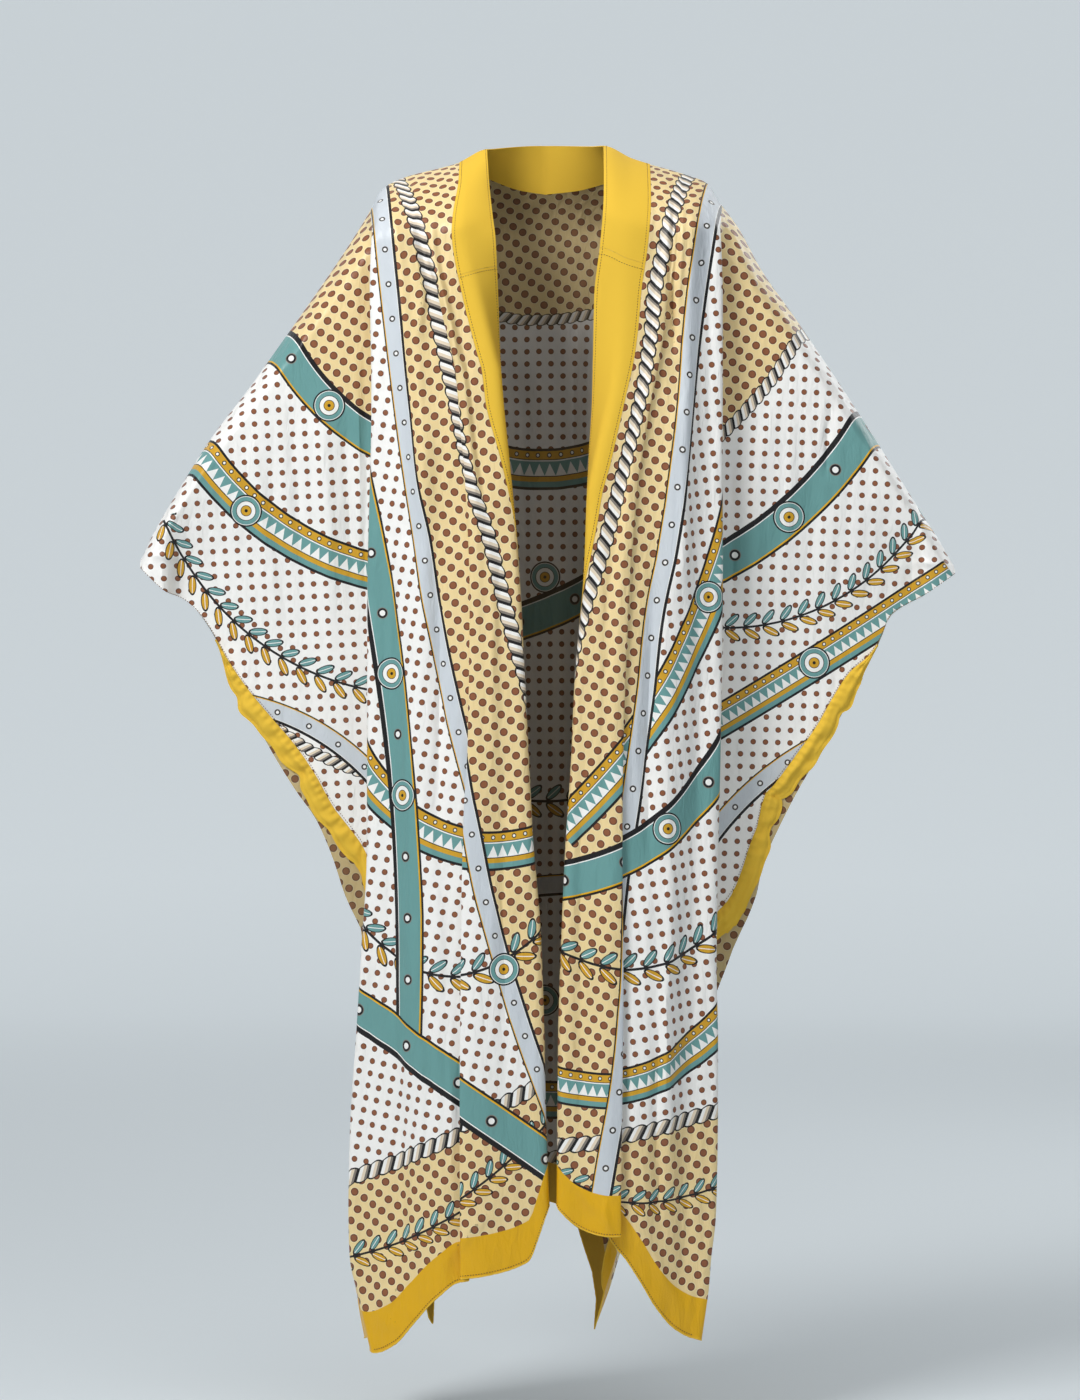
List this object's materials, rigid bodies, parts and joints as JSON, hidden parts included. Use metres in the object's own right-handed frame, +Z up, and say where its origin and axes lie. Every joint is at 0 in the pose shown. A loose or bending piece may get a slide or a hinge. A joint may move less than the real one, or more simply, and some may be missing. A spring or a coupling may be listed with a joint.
{
  "type": "kimono coat",
  "caption": "Open-fronted kimono coat of thin printed satin, with batwing sleeves, a neck and front band and puffed sleeve edges, as worn.",
  "frame": {"origin": "middle of the neck opening, on the line between the two neck points, where the shoulders carry the coat", "axes": "+Z up along the coat's length, +X to the wearer's left, -Y to the open front"},
  "size_m": [0.961, 0.2613, 1.4232],
  "materials": {
    "printed_satin": "thin satin printed with dots on beige and white",
    "gold_satin": "plain golden yellow satin"
  },
  "bodies": {
    "root": {"front_right": "printed_satin", "front_left": "printed_satin", "back": "printed_satin", "neck_band": "gold_satin", "front_band_right": "gold_satin", "front_band_left": "gold_satin", "sleeve_band_right": "gold_satin", "sleeve_band_left": "gold_satin"}
  },
  "joints": []
}
